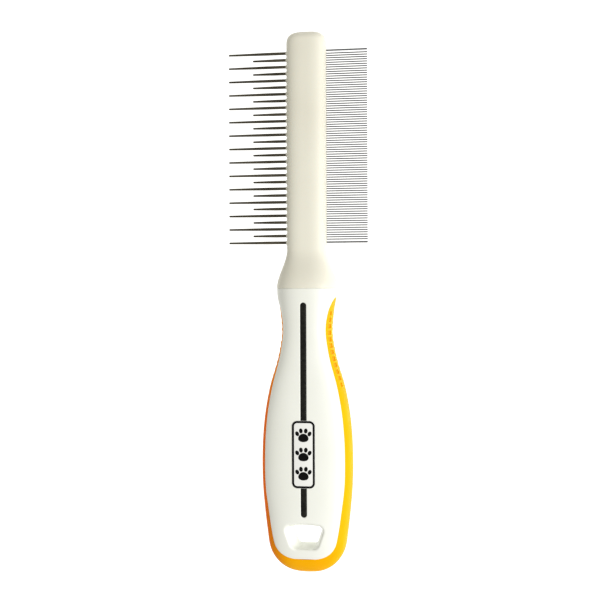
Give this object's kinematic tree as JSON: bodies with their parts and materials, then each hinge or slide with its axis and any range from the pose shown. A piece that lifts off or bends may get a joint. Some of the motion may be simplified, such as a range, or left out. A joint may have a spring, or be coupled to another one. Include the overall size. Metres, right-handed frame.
{
  "type": "double-sided pet comb",
  "caption": "Double-sided pet grooming comb: coarse two-length steel pins on one edge, fine teeth on the other, soft-grip handle with a hanging hole.",
  "frame": {"origin": "under the middle of the comb's bounding box, on the plane that its back rests on", "axes": "+Y from the handle towards the head, +X towards the fine teeth, +Z out of the front face"},
  "size_m": [0.0548, 0.2092, 0.0187],
  "materials": {
    "head_plastic": "fine satin moulding, warm cream",
    "handle_plastic": "semi-gloss moulding, white",
    "grip_rubber": "matt thermoplastic rubber, yellow orange",
    "stripe_rubber": "matt, lightly grained black",
    "badge_plastic": "glossy white plate",
    "badge_ink": "black print",
    "pin_steel": "drawn steel, polished tips",
    "tooth_steel": "drawn steel wire"
  },
  "bodies": {
    "root": {"comb_head": "head_plastic", "fine_teeth": "tooth_steel", "guard_tooth_top": "tooth_steel", "guard_tooth_bottom": "tooth_steel", "handle_front_shell": "handle_plastic", "handle_back_shell": "handle_plastic", "soft_grip": "grip_rubber", "front_stripe_upper": "stripe_rubber", "front_stripe_lower": "stripe_rubber", "back_stripe": "stripe_rubber", "badge_plate": "badge_plastic", "badge_mark": "badge_ink", "long_pin_01": "pin_steel", "long_pin_02": "pin_steel", "long_pin_03": "pin_steel", "long_pin_04": "pin_steel", "long_pin_05": "pin_steel", "long_pin_06": "pin_steel", "long_pin_07": "pin_steel", "long_pin_08": "pin_steel", "long_pin_09": "pin_steel", "long_pin_10": "pin_steel", "long_pin_11": "pin_steel", "long_pin_12": "pin_steel", "long_pin_13": "pin_steel", "long_pin_14": "pin_steel", "long_pin_15": "pin_steel", "short_pin_01": "pin_steel", "short_pin_02": "pin_steel", "short_pin_03": "pin_steel", "short_pin_04": "pin_steel", "short_pin_05": "pin_steel", "short_pin_06": "pin_steel", "short_pin_07": "pin_steel", "short_pin_08": "pin_steel", "short_pin_09": "pin_steel", "short_pin_10": "pin_steel", "short_pin_11": "pin_steel", "short_pin_12": "pin_steel", "short_pin_13": "pin_steel", "short_pin_14": "pin_steel"}
  },
  "joints": []
}
